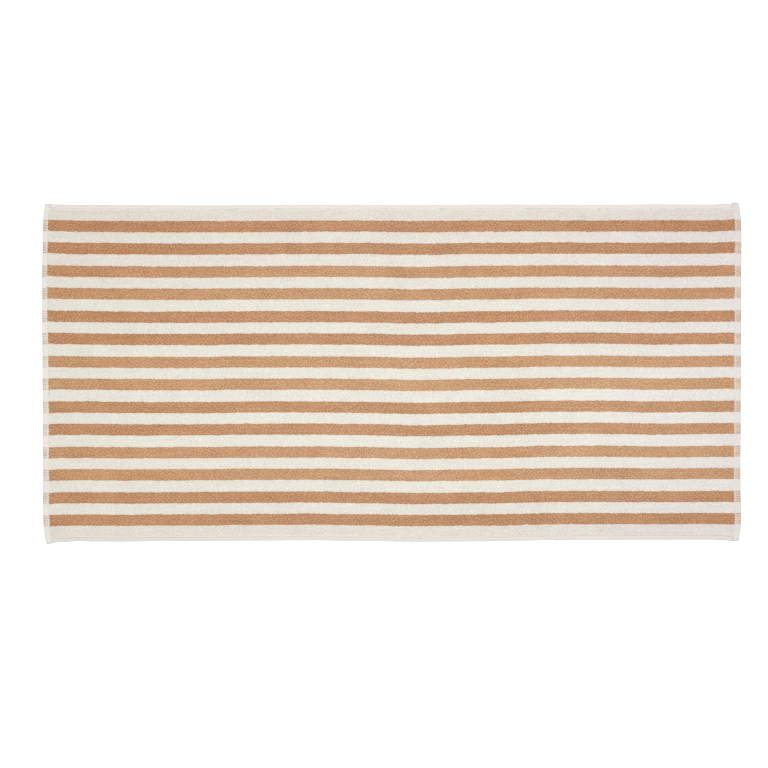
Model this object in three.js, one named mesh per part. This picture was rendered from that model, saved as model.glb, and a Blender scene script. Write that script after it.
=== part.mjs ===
// A bath towel spread out flat with its face up: one length of terry cloth, turned in along its two
// long sides as narrow hems and at its two ends as wider ones, which fold over the side hems last.
// Millimetres, +Z up. X runs along the towel, Y across it, and the underside lies on z = 0.
import * as THREE from "three";

// The towel as it lies
const LENGTH = 1400; // end fold to end fold
const WIDTH = 674; // side fold to side fold
const TERRY = 4.6; // cloth with its loops standing on both faces

// Hems: width from the fold to where the loops begin, and thickness of the turned layers
const LEFT_HEM = { wide: 11, thick: 3.2 };
const RIGHT_HEM = { wide: 13, thick: 3.2 };
const SIDE_HEM = { wide: 7.3, thick: 2.8 };
const CORNER_LIFT = 1.25; // an end hem is this much thicker where it covers a side hem
const FOLD_ROUND = 0.8; // how far the underside of a fold is drawn in from its edge
const LOOP_RUN = 4; // the run over which the loops rise from a hem to their full height

// Spacing of the surface's lines over the open cloth, and of the ribs of its flat underside
const STEP_LONG = 24;
const STEP_WIDE = 25;
const SPINE_STEP = 100;
const SPINE_REACH = 600;

// Across a hem, from its fold inwards: place as a share of its width, height as a share of its thickness
const HEM_SECTION = [
  { at: 0.0, high: 0.42 }, // middle of the fold
  { at: 0.07, high: 0.82 },
  { at: 0.28, high: 1.0 }, // crown
  { at: 0.64, high: 0.97 },
  { at: 0.8, high: 0.68 }, // groove that the sewing draws in
  { at: 0.95, high: 0.86 }, // inner edge
];

// The loops' rise behind a hem: place as a share of LOOP_RUN, height as a share of the terry
const LOOP_SECTION = [
  { at: 0.3, high: 0.8 },
  { at: 1.0, high: 1.0 },
];

// How far the cloth strays towards +Y at stations along it, on its back edge, middle and front edge
const STRAY = [
  { x: -700, back: -0.2, middle: 0.8, front: 0.0 },
  { x: -590, back: -0.3, middle: 0.2, front: -0.4 },
  { x: -480, back: -0.8, middle: -0.8, front: 0.0 },
  { x: -300, back: -1.0, middle: 0.2, front: 0.9 },
  { x: -160, back: -0.3, middle: 0.0, front: 1.6 },
  { x: -60, back: 0.0, middle: -0.6, front: 0.3 },
  { x: 50, back: -0.5, middle: -2.5, front: -1.3 },
  { x: 190, back: 0.0, middle: -0.4, front: 0.2 },
  { x: 328, back: 0.1, middle: 1.7, front: 2.2 },
  { x: 400, back: -0.3, middle: 2.0, front: 2.4 },
  { x: 538, back: 1.0, middle: 0.6, front: 2.7 },
  { x: 700, back: 0.6, middle: 1.3, front: 2.6 },
];

// How far each end bows outwards at stations across it
const BOW = [
  { y: -337, left: -0.4, right: -0.5 },
  { y: -200, left: -0.6, right: -2.2 },
  { y: -95, left: -0.2, right: -1.0 },
  { y: 0, left: 0.8, right: -0.8 },
  { y: 120, left: 1.2, right: -0.2 },
  { y: 200, left: 1.6, right: -0.7 },
  { y: 337, left: 0.2, right: 0.3 },
];
const BOW_FADE = 150; // the bow dies out this far from the end

// Corners: the end hem's tip stands past the side edge by step, the side edge flares by flare over
// flareRun on its way there, and the end fold is drawn in by pull over pullRun
const CORNERS = {
  leftBack: { step: 1.4, flare: 0.7, flareRun: 20, pull: 5.0, pullRun: 60 },
  rightBack: { step: 1.3, flare: 2.3, flareRun: 45, pull: 4.4, pullRun: 50 },
  leftFront: { step: 1.3, flare: 4.0, flareRun: 60, pull: 4.0, pullRun: 60 },
  rightFront: { step: 0.6, flare: 1.8, flareRun: 40, pull: 5.0, pullRun: 45 },
};
const TIP_REACH = 2; // an end hem's tip runs this far past the place where the loops begin
const FLARE_FADE = 30; // a flare dies out this far in from the side edge
const PULL_FADE = 60; // a pull dies out this far in from the end

// Soft swells left in the cloth when it was spread: centre, spread along and across, height
const SWELLS = [
  { x: 235, y: 20, long: 34, wide: 300, high: 1.1 },
  { x: 405, y: -10, long: 55, wide: 240, high: 1.6 },
  { x: 50, y: -80, long: 48, wide: 210, high: 1.0 },
  { x: -330, y: 120, long: 80, wide: 150, high: 1.2 },
  { x: -560, y: -140, long: 60, wide: 120, high: 0.9 },
  { x: 590, y: 170, long: 50, wide: 110, high: 0.9 },
];

const TERRY_CREAM = new THREE.MeshStandardMaterial({
  color: 0xe9e2d4,
  roughness: 0.95,
  metalness: 0,
});

// The value of a column between the rows of a table, eased from one row to the next.
function between(rows, key, at, column) {
  const next = rows.findIndex((row) => row[key] >= at);
  if (next === 0) return rows[0][column];
  if (next < 0) return rows[rows.length - 1][column];
  const [a, b] = [rows[next - 1], rows[next]];
  const share = (at - a[key]) / (b[key] - a[key]);
  const eased = share * share * (3 - 2 * share);
  return a[column] + (b[column] - a[column]) * eased;
}

// A value that is 1 at distance 0 and falls to 0, with no kink, at distance run.
const fade = (distance, run) => Math.max(0, 1 - distance / run) ** 2;

// The places and heights of a hem's section and of the loops that rise behind it.
const sectionOf = (hem) => [
  ...HEM_SECTION.map(({ at, high }) => ({ d: at * hem.wide, z: high * hem.thick })),
  ...LOOP_SECTION.map(({ at, high }) => ({ d: hem.wide + at * LOOP_RUN, z: high * TERRY })),
];

// The height of a section at distance d in from its fold, straight between its points.
function heightAt(section, d) {
  const next = section.findIndex((point) => point.d > d);
  if (next < 0) return section[section.length - 1].z;
  if (next === 0) return section[0].z;
  const [a, b] = [section[next - 1], section[next]];
  return a.z + ((b.z - a.z) * (d - a.d)) / (b.d - a.d);
}

// Lines across a span: one at each point of the two hems' sections, then even steps over the open cloth.
function lines(span, lowHem, highHem, step) {
  const low = sectionOf(lowHem).map(({ d }) => -span / 2 + d);
  const high = sectionOf(highHem).map(({ d }) => span / 2 - d).reverse();
  const [from, to] = [low[low.length - 1], high[0]];
  const count = Math.round((to - from) / step);
  const open = Array.from({ length: count - 1 }, (_, i) => from + ((to - from) * (i + 1)) / count);
  return [...low, ...open, ...high];
}

const cornerAt = (s, t) => CORNERS[(s < 0 ? "left" : "right") + (t < 0 ? "Front" : "Back")];
const endHemAt = (s) => (s < 0 ? LEFT_HEM : RIGHT_HEM);

// Where a point of the flat cloth lies: strayed across, bowed and pulled at the ends, flared at the corners.
function place(s, t) {
  const fromEnd = LENGTH / 2 - Math.abs(s);
  const fromSide = WIDTH / 2 - Math.abs(t);
  const corner = cornerAt(s, t);
  const hem = endHemAt(s);

  const stray = ["back", "middle", "front"].map((column) => between(STRAY, "x", s, column));
  const v = t / (WIDTH / 2);
  const across =
    stray[1] + (v * (stray[0] - stray[2])) / 2 + v * v * ((stray[0] + stray[2]) / 2 - stray[1]);
  const flare =
    corner.flare * fade(Math.max(0, fromEnd - hem.wide), corner.flareRun) +
    (fromEnd < hem.wide + TIP_REACH ? corner.step : 0);

  const bow = between(BOW, "y", t, s < 0 ? "left" : "right") * fade(fromEnd, BOW_FADE);
  const pull = corner.pull * fade(fromSide, corner.pullRun) * fade(fromEnd, PULL_FADE);

  return {
    x: s + Math.sign(s) * (bow - pull),
    y: t + across + Math.sign(t) * flare * fade(fromSide, FLARE_FADE),
  };
}

// The height of the cloth's face: hems, then the loops' rise, then the terry with its swells.
function face(s, t) {
  const fromEnd = LENGTH / 2 - Math.abs(s);
  const fromSide = WIDTH / 2 - Math.abs(t);
  const hem = endHemAt(s);
  const end = heightAt(sectionOf(hem), fromEnd);
  const side = heightAt(sectionOf(SIDE_HEM), fromSide);
  if (fromEnd < hem.wide) {
    const crown = HEM_SECTION[2].at * SIDE_HEM.wide;
    const round = fromSide < crown ? side / SIDE_HEM.thick : 1;
    return end * round * (fromSide < SIDE_HEM.wide ? CORNER_LIFT : 1);
  }
  const low = Math.min(end, side);
  const swell = SWELLS.reduce(
    (sum, { x, y, long, wide, high }) =>
      sum + high * Math.exp(-(((s - x) / long) ** 2) - ((t - y) / wide) ** 2),
    0,
  );
  const inland = 1 - fade(Math.min(fromEnd - hem.wide, Math.max(0, fromSide - SIDE_HEM.wide)), 40);
  return low + swell * inland;
}

// The towel's one closed surface: its face as a grid, a rounded rim, and a flat underside.
function towelGeometry() {
  const along = lines(LENGTH, LEFT_HEM, RIGHT_HEM, STEP_LONG);
  const across = lines(WIDTH, SIDE_HEM, SIDE_HEM, STEP_WIDE);
  const [rows, columns] = [along.length, across.length];
  const points = [];
  const triangles = [];

  for (const s of along) {
    for (const t of across) {
      const { x, y } = place(s, t);
      points.push(x, y, face(s, t));
    }
  }
  const at = (i, j) => i * columns + j;
  for (let i = 0; i + 1 < rows; i++) {
    for (let j = 0; j + 1 < columns; j++) {
      const [a, b, c, d] = [at(i, j), at(i + 1, j), at(i + 1, j + 1), at(i, j + 1)];
      triangles.push(a, b, c, a, c, d);
    }
  }

  // The rim, counterclockwise seen from above: front side, right end, back side, left end.
  const rim = [];
  for (let i = 0; i + 1 < rows; i++) rim.push(at(i, 0));
  for (let j = 0; j + 1 < columns; j++) rim.push(at(rows - 1, j));
  for (let i = rows - 1; i > 0; i--) rim.push(at(i, columns - 1));
  for (let j = columns - 1; j > 0; j--) rim.push(at(0, j));

  // Under each rim point lies a point of the underside, drawn in towards the cloth.
  const foot = rim.map((index) => {
    const [x, y] = [points[3 * index], points[3 * index + 1]];
    const onEnd = index < columns || index >= at(rows - 1, 0);
    const onSide = index % columns === 0 || index % columns === columns - 1;
    const footX = onEnd ? x - Math.sign(x) * FOLD_ROUND : x;
    const footY = onSide ? y - Math.sign(y) * FOLD_ROUND : y;
    points.push(footX, footY, 0);
    return points.length / 3 - 1;
  });

  // A spine of points along the middle of the underside, to which every stretch of the rim is joined.
  const spine = new Map();
  for (let x = -SPINE_REACH; x <= SPINE_REACH; x += SPINE_STEP) {
    points.push(x, 0, 0);
    spine.set(x, points.length / 3 - 1);
  }
  const spineNear = (k) => {
    const x = Math.round(points[3 * foot[k]] / SPINE_STEP) * SPINE_STEP;
    return spine.get(THREE.MathUtils.clamp(x, -SPINE_REACH, SPINE_REACH));
  };
  rim.forEach((index, k) => {
    const n = (k + 1) % rim.length;
    triangles.push(index, foot[k], foot[n], index, foot[n], rim[n]);
    const [here, there] = [spineNear(k), spineNear(n)];
    triangles.push(foot[k], here, foot[n]);
    if (here !== there) triangles.push(foot[n], here, there);
  });

  const geometry = new THREE.BufferGeometry();
  geometry.setAttribute("position", new THREE.Float32BufferAttribute(points, 3));
  geometry.setIndex(triangles);
  geometry.computeVertexNormals();
  return geometry;
}

const cloth = towelGeometry();
const towel = new THREE.Mesh(cloth, TERRY_CREAM);
towel.name = "towel";

// The origin is the middle of the uneven outline, on the surface that the towel lies on.
cloth.computeBoundingBox();
const middle = cloth.boundingBox.getCenter(new THREE.Vector3());
towel.position.set(-middle.x, -middle.y, 0);

const part = new THREE.Group();
part.add(towel);

export default part;
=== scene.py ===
# %% [markdown]
# # A striped bath towel, spread out flat
# A terry towel is a thin woven ground cloth with thousands of small yarn loops standing on both faces.
# Here the ground, the hems, the sewing and the loops are all surfaces worked out with numpy, and the
# looks come from node materials. All sizes are in millimetres until the points go into a mesh.

# %% Tools and the fixed frame
import math

import bpy
import numpy as np
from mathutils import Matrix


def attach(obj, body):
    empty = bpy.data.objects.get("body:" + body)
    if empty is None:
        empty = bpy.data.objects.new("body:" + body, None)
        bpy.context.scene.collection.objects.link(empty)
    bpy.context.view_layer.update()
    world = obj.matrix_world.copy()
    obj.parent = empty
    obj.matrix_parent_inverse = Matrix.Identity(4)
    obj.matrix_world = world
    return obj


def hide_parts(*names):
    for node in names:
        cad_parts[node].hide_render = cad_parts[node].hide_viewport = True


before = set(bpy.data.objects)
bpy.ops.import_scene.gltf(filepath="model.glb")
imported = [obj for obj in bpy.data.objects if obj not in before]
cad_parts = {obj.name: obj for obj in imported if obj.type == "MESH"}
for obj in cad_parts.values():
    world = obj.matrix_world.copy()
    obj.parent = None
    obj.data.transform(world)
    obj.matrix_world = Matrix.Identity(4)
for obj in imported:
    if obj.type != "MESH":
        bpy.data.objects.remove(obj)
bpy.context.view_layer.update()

# %% [markdown]
# ## How the cloth lies
# A towel smoothed out by hand is never a true rectangle. Its stripes wander by a millimetre or two, its
# ends bow, and its hemmed corners are drawn in and stick out past the sides. A cage or a cloth simulation
# could give that, but a short table that is eased from row to row keeps each number easy to change.
# One function then carries any point of the flat cloth to where it lies, so every piece below agrees.

# %% Sizes and tables of the lie
MM = 0.001
LENGTH, WIDTH = 1400.0, 674.0
LEFT_HEM, RIGHT_HEM, SIDE_HEM = 11.0, 13.0, 7.8
MIDDLE_SHIFT = (0.86, 0.55)  # brings the middle of the uneven outline to the origin

STRAY = np.array([  # station along, then how far the back edge, the middle and the front edge stray
    (-700, 2.2, 0.8, -2.2),
    (-670, 1.1, 0.5, -1.5),
    (-630, 0.2, 0.2, -0.5),
    (-530, -0.5, -0.9, -1.1),
    (-480, -0.7, -1.2, -0.3),
    (-385, -0.9, -1.1, 0.0),
    (-300, -0.8, -0.1, 0.8),
    (-160, 0.5, 0.2, 1.4),
    (-60, 0.7, -0.6, 0.0),
    (50, -0.3, -2.7, -1.4),
    (190, 1.0, -0.7, -0.6),
    (328, 0.8, 1.7, 2.0),
    (400, 0.3, 1.8, 2.4),
    (538, 1.2, 0.1, 2.7),
    (640, 0.7, 1.1, 2.8),
    (668, 2.0, 1.7, 2.1),
    (690, 3.8, 1.4, 1.7),
])
BOW = np.array([  # station across, then how far the left end and the right end bow out
    (-337, -0.9, 0.2),
    (-285, -0.5, 0.0),
    (-245, -0.2, -1.0),
    (-200, -0.5, -1.5),
    (-95, -0.2, -0.8),
    (0, 0.7, -0.4),
    (120, 1.3, 0.1),
    (200, 1.7, 0.0),
    (255, 0.4, 0.4),
    (337, 0.4, -0.1),
])
CORNERS = np.array([  # step past the side and its run, flare and its run, pull from the end and its run
    (1.1, 2, 2.0, 60, 6.0, 55),  # left front
    (0.7, 14, -0.7, 110, 5.4, 60),  # left back
    (0.4, 2, 1.4, 60, 5.6, 48),  # right front
    (1.0, 6, -0.9, 45, 5.3, 50),  # right back
])
PUCKER = (1.1, -0.7)  # how far the stripes are drawn aside by the left and the right end hem
PUCKER_RUN, BOW_RUN, PULL_RUN, FLARE_RUN = 40.0, 150.0, 60.0, 30.0  # how far in each dies out
STEP_LEAD = 1.0  # a corner's step is done this far before the end hem begins
print(len(STRAY), "stations along,", len(BOW), "across")

# %% From the flat cloth to its lie
def eased(rows, at, column):
    """A column's value between table rows: u runs 0 to 1 from row to row, and 3u^2 - 2u^3 mixes them."""
    keys = rows[:, 0]
    low = np.clip(np.searchsorted(keys, at) - 1, 0, len(keys) - 2)
    u = np.clip((at - keys[low]) / (keys[low + 1] - keys[low]), 0, 1)
    return rows[low, column] + (rows[low + 1, column] - rows[low, column]) * u * u * (3 - 2 * u)


def fade(distance, run):
    """1 at distance 0, falling as a parabola to 0 at distance run."""
    return np.clip(1 - distance / run, 0, None) ** 2


def lie(s, t):
    """Where a point s along and t across the flat cloth lies. Across, it strays by a parabola through three
    strayed lines and puckers as a sine wave near the end hems. Along, it bows near the ends and is pulled
    in near the corners. A corner flares out as a parabola, with a straight step at its hem."""
    s, t = np.broadcast_arrays(np.asarray(s, float), np.asarray(t, float))
    from_end = LENGTH / 2 - np.abs(s)
    from_side = WIDTH / 2 - np.abs(t)
    hem = np.where(s < 0, LEFT_HEM, RIGHT_HEM)
    from_hem = np.clip(from_end - hem, 0, None)
    step, step_run, flare, flare_run, pull, pull_run = np.moveaxis(CORNERS[2 * (s > 0) + (t > 0)], -1, 0)

    back, middle, front = (eased(STRAY, s, column) for column in (1, 2, 3))
    v = t / (WIDTH / 2)
    across = middle + v * (back - front) / 2 + v * v * ((back + front) / 2 - middle)
    across = across + np.where(s < 0, *PUCKER) * np.sin(math.pi * v) * fade(from_hem, PUCKER_RUN)
    out = flare * fade(from_hem, flare_run)
    out = out + step * np.clip((hem + STEP_LEAD + step_run - from_end) / step_run, 0, 1)
    bow = np.where(s < 0, eased(BOW, t, 1), eased(BOW, t, 2)) * fade(from_end, BOW_RUN)
    drawn = pull * fade(from_side, pull_run) * fade(from_end, PULL_RUN)
    x = s + np.sign(s) * (bow - drawn) + MIDDLE_SHIFT[0]
    y = t + across + np.sign(t) * out * fade(from_side, FLARE_RUN) + MIDDLE_SHIFT[1]
    return x, y


corner_x, corner_y = lie(np.array([-LENGTH / 2, LENGTH / 2]), np.array([WIDTH / 2, -WIDTH / 2]))
print("two corners lie at", np.round(corner_x, 1), np.round(corner_y, 1))

# %% [markdown]
# A towel spread by hand keeps soft swells, about a millimetre high, that catch the light as faint bands.
# They could be sculpted, but a bell curve that is placed by a row of numbers is easier to move.

# %% Swells left in the cloth
SWELLS = np.array([  # centre along, centre across, spread along, spread across, height
    (235, 20, 34, 300, 1.1),
    (405, -10, 55, 240, 1.6),
    (50, -80, 48, 210, 1.0),
    (-330, 120, 80, 150, 1.2),
    (-560, -140, 60, 120, 0.9),
    (590, 170, 50, 110, 0.9),
])
SWELL_RUN = 40.0


def bells(rows, s, t):
    """A sum of bell curves, one a row: e to the minus squared distance over spread, times a height."""
    total = np.zeros(np.broadcast(s, t).shape)
    for along, across, long, wide, high in rows:
        total = total + high * np.exp(-(((s - along) / long) ** 2) - ((t - across) / wide) ** 2)
    return total


def swell(s, t):
    """Height of the soft swells left in the cloth: bell curves that die out at the hems."""
    end_hem_wide = max(LEFT_HEM, RIGHT_HEM)
    inland = np.minimum(LENGTH / 2 - end_hem_wide - np.abs(s), WIDTH / 2 - SIDE_HEM - np.abs(t))
    return bells(SWELLS, s, t) * (1 - fade(np.clip(inland, 0, None), SWELL_RUN))


print("highest swell", round(float(swell(SWELLS[:, 0], SWELLS[:, 1]).max()), 2), "mm")

# %% [markdown]
# ## Stripes
# The pile yarns run along the towel, so dyed yarns give stripes along its whole length. They come in
# pairs, which alternate between two strengths of tan. The colour edges are worked out from three widths.
# A soft random field later makes each edge wander a little, because no two loops lean alike.

# %% Stripe edges and a random field
TAN_WIDE, GAP_IN_PAIR, PAIR_PITCH = 22.8, 21.8, 90.6
PAIRS = np.arange(3, -4, -1)
PILE_INSET = 2.4  # from a side hem to the pile
FIELD_LONG, FIELD_WIDE = 720, 360  # reach of the random field from the middle


def stripe_edges():
    """Colour edges from back to front: four about each pair's centre, and the pile's own outside them."""
    inner, outer = GAP_IN_PAIR / 2, GAP_IN_PAIR / 2 + TAN_WIDE
    around = np.array([outer, inner, -inner, -outer])
    edges = (PAIRS[:, None] * PAIR_PITCH + around).ravel()
    side = WIDTH / 2 - SIDE_HEM - PILE_INSET
    return np.concatenate([[side], edges, [-side]])


def soft_noise(s, t, size, seed):
    """Smooth random hills from -1 to 1: random heights on a lattice of that size, eased both ways."""
    u = (np.asarray(s, float) + FIELD_LONG) / size
    v = (np.asarray(t, float) + FIELD_WIDE) / size
    cells = (int(2 * FIELD_LONG / size) + 3, int(2 * FIELD_WIDE / size) + 3)
    lattice = np.random.default_rng(seed).uniform(-1, 1, cells)
    i, j = np.floor(u).astype(int), np.floor(v).astype(int)
    a, b = u - i, v - j
    a, b = a * a * (3 - 2 * a), b * b * (3 - 2 * b)
    low = lattice[i, j] * (1 - b) + lattice[i, j + 1] * b
    high = lattice[i + 1, j] * (1 - b) + lattice[i + 1, j + 1] * b
    return low * (1 - a) + high * a


EDGES = stripe_edges()
print(len(EDGES) - 1, "bands of loops, from", EDGES[0], "to", EDGES[-1])

# %% [markdown]
# ## Meshes from arrays
# Blender takes whole arrays of points and corners with `foreach_set`, which is far quicker than adding
# faces one by one. A small shell around it makes every piece ride on the towel's one body, and stores the
# values that the materials will read.

# %% Put arrays into a mesh object
def mesh_piece(name, points, faces, sharp=None):
    """An object from points in millimetres and faces of equal corner count. An edge stays crisp where
    sharp marks both of its ends."""
    mesh = bpy.data.meshes.new(name)
    corners = faces.shape[1]
    mesh.vertices.add(len(points))
    mesh.vertices.foreach_set("co", (points * MM).astype(np.float32).ravel())
    mesh.loops.add(faces.size)
    mesh.loops.foreach_set("vertex_index", faces.astype(np.int32).ravel())
    mesh.polygons.add(len(faces))
    mesh.polygons.foreach_set("loop_start", np.arange(0, faces.size, corners, dtype=np.int32))
    mesh.update(calc_edges=True)
    if sharp is not None:
        ends = np.empty(2 * len(mesh.edges), dtype=np.int32)
        mesh.edges.foreach_get("vertices", ends)
        crisp = mesh.attributes.new("sharp_edge", "BOOLEAN", "EDGE")
        crisp.data.foreach_set("value", sharp[ends.reshape(-1, 2)].all(axis=1))
    mesh.validate()
    piece = bpy.data.objects.new(name, mesh)
    bpy.context.collection.objects.link(piece)
    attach(piece, "root")
    return piece


def store(piece, name, domain, values):
    """Keep one number for each point or face under a name that a material can read."""
    kept = piece.data.attributes.new(name, "FLOAT", domain)
    kept.data.foreach_set("value", np.asarray(values, np.float32).ravel())


def store_uv(piece, name, values):
    """Keep a flat coordinate for each face corner under a name."""
    layer = piece.data.uv_layers.new(name=name)
    layer.uv.foreach_set("vector", np.asarray(values, np.float32).ravel())


# %% [markdown]
# ## The ground cloth
# Under the loops lies the woven ground that holds them. It never shows from above, but it makes the towel
# one closed sheet. A plane with a thickness modifier would do, but a slab made from arrays follows the lie
# and the swells exactly.

# %% Ground cloth as a closed slab
GROUND_LOW, GROUND_HIGH = 0.9, 2.7
GROUND_INSET = 4.0  # from the folds of the hems
GROUND_LINES = (93, 46)


def cell_corners(grid):
    """The four corners of each cell of a grid, in a ring."""
    return np.stack([grid[:-1, :-1], grid[1:, :-1], grid[1:, 1:], grid[:-1, 1:]], -1)


def slab(along, across):
    """A closed slab over a grid: upper and lower sheets of quads, and a wall of quads around the rim."""
    s, t = np.meshgrid(along, across, indexing="ij")
    x, y = lie(s, t)
    upper = np.stack([x, y, GROUND_HIGH + swell(s, t)], -1).reshape(-1, 3)
    lower = np.stack([x, y, np.full_like(x, GROUND_LOW)], -1).reshape(-1, 3)
    index = np.arange(s.size).reshape(s.shape)
    quads = cell_corners(index).reshape(-1, 4)
    rim = np.concatenate([index[:-1, 0], index[-1, :-1], index[:0:-1, -1], index[0, :0:-1]])
    after = np.roll(rim, -1)
    wall = np.stack([rim, rim + s.size, after + s.size, after], -1)
    faces = np.concatenate([quads, quads[:, ::-1] + s.size, wall])
    return np.concatenate([upper, lower]), faces


ground_points, ground_faces = slab(
    np.linspace(-LENGTH / 2 + GROUND_INSET, LENGTH / 2 - GROUND_INSET, GROUND_LINES[0]),
    np.linspace(-WIDTH / 2 + GROUND_INSET, WIDTH / 2 - GROUND_INSET, GROUND_LINES[1]),
)
ground_cloth = mesh_piece("ground_cloth", ground_points, ground_faces)
print("ground cloth", len(ground_faces), "faces")

# %% [markdown]
# ## Loops of the pile
# Each loop is a little arch of soft yarn, about two and a half millimetres from its neighbours. Hair
# curves or instanced arches would cost far too many faces, so each loop is one cell of a grid: four
# triangles that rise from four shared root points to one leaning crown. The edges between cells are marked
# sharp, so the shading rounds each crown and breaks in the gap, as it does between real loops.

# %% Cells of loops
LOOP_PITCH = 2.45
LOOP_ROWS = int(round((LENGTH - LEFT_HEM - RIGHT_HEM) / LOOP_PITCH))
HEM_WIDE = np.array([  # station across, then how wide the left and the right end hem are
    (-337, 12.5, 12.6),
    (-250, 11.6, 14.0),
    (-160, 11.0, 14.0),
    (-90, 11.3, 13.5),
    (30, 11.1, 14.4),
    (70, 10.8, 13.9),
    (110, 9.4, 13.7),
    (200, 9.3, 13.4),
    (337, 10.2, 13.1),
])
SLOW_WANDER, QUICK_WANDER = (0.4, 18), (0.55, 3.4)  # how far a colour edge strays, and over what length
SETTLE_RUN = 9.0


def edge_wander(s, seed):
    """How far a colour edge strays: slow waves of loops that lean together, and a quicker raggedness."""
    (slow, slow_long), (quick, quick_long) = SLOW_WANDER, QUICK_WANDER
    return slow * soft_noise(s, 0, slow_long, seed) + quick * soft_noise(s, 0, quick_long, seed + 1)


def settle(t):
    """1 at the two side edges of the pile, falling as a parabola to 0 a short run inside them."""
    return fade(np.clip(EDGES[0] - np.abs(t), 0, None), SETTLE_RUN)


def crowned_cells(roots_at, crowns_at, upwards=True):
    """Points, faces, and which points are roots: four triangles a cell, from its ring of roots to its crown.
    Where the crowns hang down, the ring runs the other way round."""
    roots, crowns = (np.stack([*lie(s, t), z], -1).reshape(-1, 3) for s, t, z in (roots_at, crowns_at))
    ring = cell_corners(np.arange(len(roots)).reshape(roots_at[0].shape)).reshape(-1, 4)
    if not upwards:
        ring = ring[:, [0, 3, 2, 1]]
    crown = len(roots) + np.arange(len(crowns))
    corners = [ring, np.roll(ring, -1, axis=1), np.repeat(crown[:, None], 4, axis=1)]
    return {
        "points": np.concatenate([roots, crowns]),
        "faces": np.stack(corners, -1).reshape(-1, 3),
        "is_root": np.arange(len(roots) + len(crowns)) < len(roots),
    }


print(LOOP_ROWS, "rows of loops from end hem to end hem")

# %% [markdown]
# No two loops look alike. Each has a tone of its own, set off from its neighbours so that the grain stays
# fine, and shares a little with its clump and with the yarn it lies along. In patches the pile is painted
# paler or darker, as painted light and shade. Along the towel, painted light makes the tan paler and the
# cream cooler in places; one bell deepens them and one pales them. The yarn also leans from straw towards
# rose. A painted picture could hold all that. Short tables and soft random hills are easier to change, so
# they give each loop its numbers, and the materials read them later.

# %% Colour values of the loops
# Painted light along the towel: the tan is paler where more light falls on it, and the cream grows cooler
# towards the right end.
LIGHT_ALONG = np.array([  # station along, then how deep the tan looks and how warm the cream looks
    (-700, 1.0, 1.0),
    (-560, 0.8, 1.0),
    (-420, 0.5, 1.0),
    (-200, 0.25, 1.0),
    (0, 0.0, 1.0),
    (230, 0.45, 1.0),
    (400, 0.0, 0.7),
    (490, 0.3, 0.45),
    (560, 0.3, 0.3),
    (700, 0.65, 0.0),
])
TAN_COLUMN, CREAM_COLUMN = 1, 2  # columns of that table
# Two bells of painted shade and light on that depth: deeper tan and warmer cream at the left back, paler at
# the right front.
DEEPER = np.array([  # bells added to that depth, or taken off where negative, in columns as for the swells
    (560, -130, 160, 170, -0.3),
    (-560, 230, 160, 120, 0.22),
])
ROSE = np.array([  # station across, then how far the yarn leans from straw towards rose
    (-337, 0.03),
    (-272, 0.03),
    (-180, -0.02),
    (-70, -0.03),
    (60, 0.0),
    (150, 0.02),
    (215, 0.1),
    (290, 0.1),
    (337, 0.04),
])
ROSIER = np.array([  # bells of added lean to rose
    (570, 210, 150, 120, 0.09),
    (600, -200, 100, 120, 0.03),
    (660, 290, 70, 50, 0.08),
])
PAINTED_LIGHT_PATCHES = np.array([  # bells of painted light on the pile, or of painted shade where negative
    (480, -70, 170, 130, 0.18),
    (-540, -275, 110, 45, 0.18),
    (-200, -120, 200, 50, 0.1),
    (170, -280, 95, 40, -0.2),
    (440, -205, 60, 16, -0.33),
    (560, -290, 110, 40, -0.12),
    (580, 250, 110, 90, -0.14),
    (-600, 180, 110, 100, -0.1),
    (-330, 75, 110, 35, -0.13),
    (0, 320, 900, 16, 0.12),
])
CLUMP_SIZES = (16, 46)
STREAK_LONG, STREAK_WIDE = 24, 2.6  # how many times longer than wide, and how wide
CLUMP_TONE, STREAK_TONE, OWN_TONE = 0.12, 0.16, 0.66
SET_OFF = 0.2  # share of each neighbour's number that is taken away
OWN_BLUSH, PATCH_BLUSH, PATCH_SIZE = 0.7, 0.3, 7
BLUSH_MIDDLE, BLUSH_REACH = 0.5, 0.4


def clumps(s, t):
    """Loops that lean together in small clumps and larger ones: two fields of soft random hills."""
    small, large = CLUMP_SIZES
    return soft_noise(s, t, small, 71) + soft_noise(s, t, large, 72)


def loop_colours(rng, s, t, light_column):
    """Values of the loops at s and t. Tone is a weighted sum of clump, streak, and the loop's own number
    less a share of its neighbours', plus bells of painted light and shade. Deep adds up a table and bells of
    painted light and shade along the towel; blush adds up chance, a table and patches."""
    own = rng.uniform(-1, 1, s.shape)
    beside = sum(np.roll(own, step, axis) for step in (-1, 1) for axis in (0, 1))
    streak = soft_noise(s / STREAK_LONG, t, STREAK_WIDE, 73)
    tone = CLUMP_TONE * clumps(s, t) + STREAK_TONE * streak + OWN_TONE * (own - SET_OFF * beside)
    turn = rng.uniform(0, 2 * math.pi, s.size)
    blush = OWN_BLUSH * rng.uniform(-1, 1, s.shape) + PATCH_BLUSH * soft_noise(s, t, PATCH_SIZE, 74)
    return {
        "tone": (tone + bells(PAINTED_LIGHT_PATCHES, s, t)).ravel(),
        "deep": (eased(LIGHT_ALONG, s, light_column) + bells(DEEPER, s, t)).ravel(),
        "blush": (BLUSH_MIDDLE + BLUSH_REACH * blush + eased(ROSE, t, 1) + bells(ROSIER, s, t)).ravel(),
        "turn": turn,
    }


print("depth of the tan dye from", LIGHT_ALONG[:, TAN_COLUMN].min(), "to", LIGHT_ALONG[:, TAN_COLUMN].max())

# %% [markdown]
# A band is all the loops between two colour edges. Its root points are a grid, staggered and jittered, and
# it laps over the next band, so that no ground shows between two colours. Beside the side hems the loops
# are held lower by the sewing.

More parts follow.
